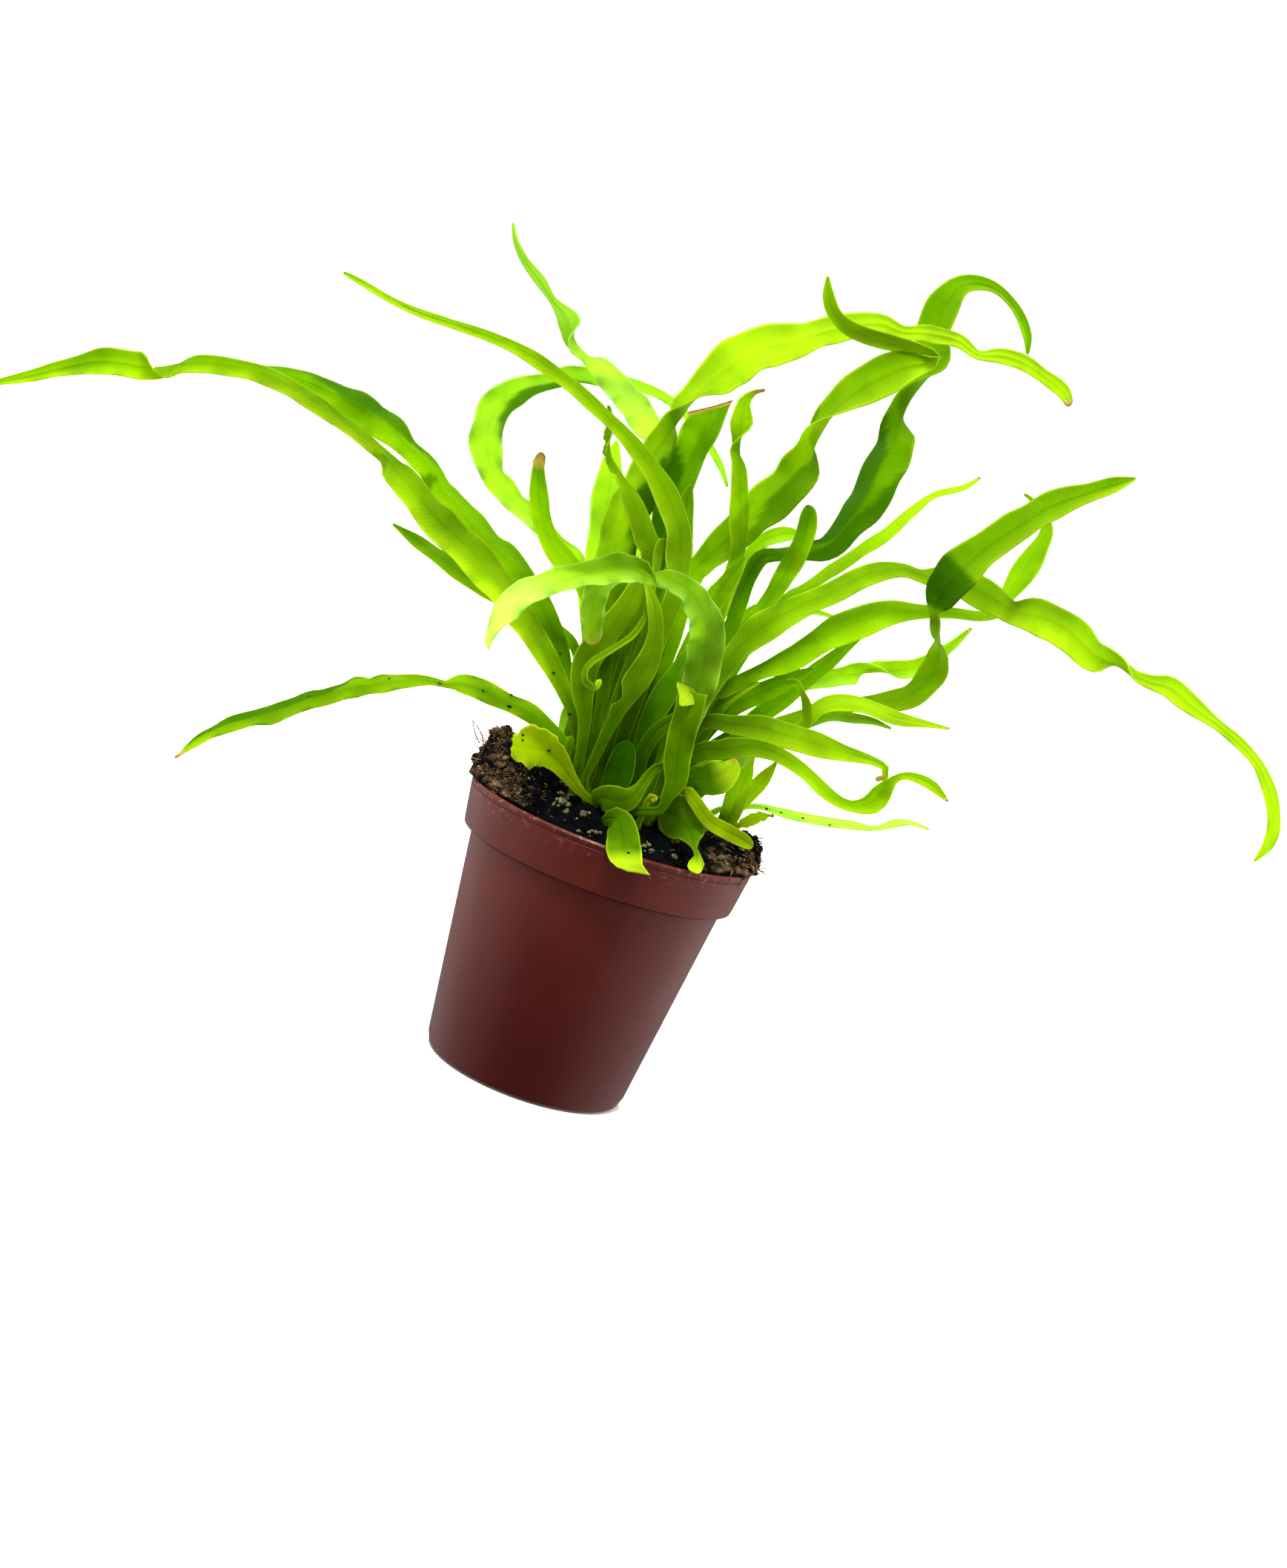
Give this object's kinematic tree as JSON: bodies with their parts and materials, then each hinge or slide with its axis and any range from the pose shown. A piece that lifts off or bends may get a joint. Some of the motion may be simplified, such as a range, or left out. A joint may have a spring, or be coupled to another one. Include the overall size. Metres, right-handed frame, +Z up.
{
  "type": "potted bird's nest fern",
  "caption": "Young bird's nest fern: long waved strap fronds in a rosette from a peat-filled, tapered plastic nursery pot.",
  "frame": {"origin": "centre of the pot's underside, on the surface it stands on", "axes": "+Z up along the pot's axis, -Y towards the front of the plant, +X to the right seen from the front"},
  "size_m": [0.2812, 0.1469, 0.1845],
  "materials": {
    "pot_plastic": "satin brown plastic",
    "peat": "damp peat with perlite grains",
    "leaf_lime": "satin lime green leaf",
    "leaf_deep": "satin green leaf",
    "leaf_inner": "satin dark green leaf",
    "leaf_pale": "satin pale green leaf",
    "leaf_yellow": "satin yellowish green leaf"
  },
  "bodies": {
    "root": {"pot": "pot_plastic", "root_ball": "peat", "left_long": "leaf_lime", "left_folded": "leaf_deep", "left_low": "leaf_lime", "left_small": "leaf_deep", "left_hooked": "leaf_pale", "upper_left_thin": "leaf_lime", "top_left_pale": "leaf_pale", "top_arching": "leaf_lime", "centre_cut": "leaf_deep", "centre_shredded": "leaf_lime", "centre_twisted": "leaf_lime", "top_folded_back": "leaf_lime", "top_hooked": "leaf_deep", "right_thin": "leaf_deep", "right_upright": "leaf_lime", "right_ruffled": "leaf_lime", "right_twisted": "leaf_deep", "right_straight": "leaf_deep", "right_pale": "leaf_pale", "right_small": "leaf_lime", "right_curled": "leaf_lime", "right_low_twisted": "leaf_lime", "right_low_pale": "leaf_pale", "right_ragged": "leaf_yellow", "rim_tongue": "leaf_lime", "hood": "leaf_lime", "right_pleated": "leaf_lime", "right_short_low": "leaf_yellow", "front_tall": "leaf_lime", "soil_lobed": "leaf_yellow", "near_arching": "leaf_pale", "near_blunt": "leaf_pale", "left_brown_tip": "leaf_deep", "left_broad": "leaf_lime", "inner_wavy": "leaf_lime", "inner_dark": "leaf_inner", "inner_short": "leaf_inner", "inner_upright": "leaf_inner", "inner_bent": "leaf_deep", "centre_right": "leaf_deep", "centre_slim": "leaf_deep", "right_cupped": "leaf_lime", "right_short_upright": "leaf_deep", "right_short_second": "leaf_yellow", "right_inner": "leaf_deep", "left_pale_back": "leaf_pale", "centre_back": "leaf_deep", "back_left_high": "leaf_deep", "back_left_low": "leaf_lime", "back_middle_high": "leaf_lime", "back_middle_low": "leaf_deep", "back_right_high": "leaf_lime", "back_right_low": "leaf_deep"}
  },
  "joints": []
}
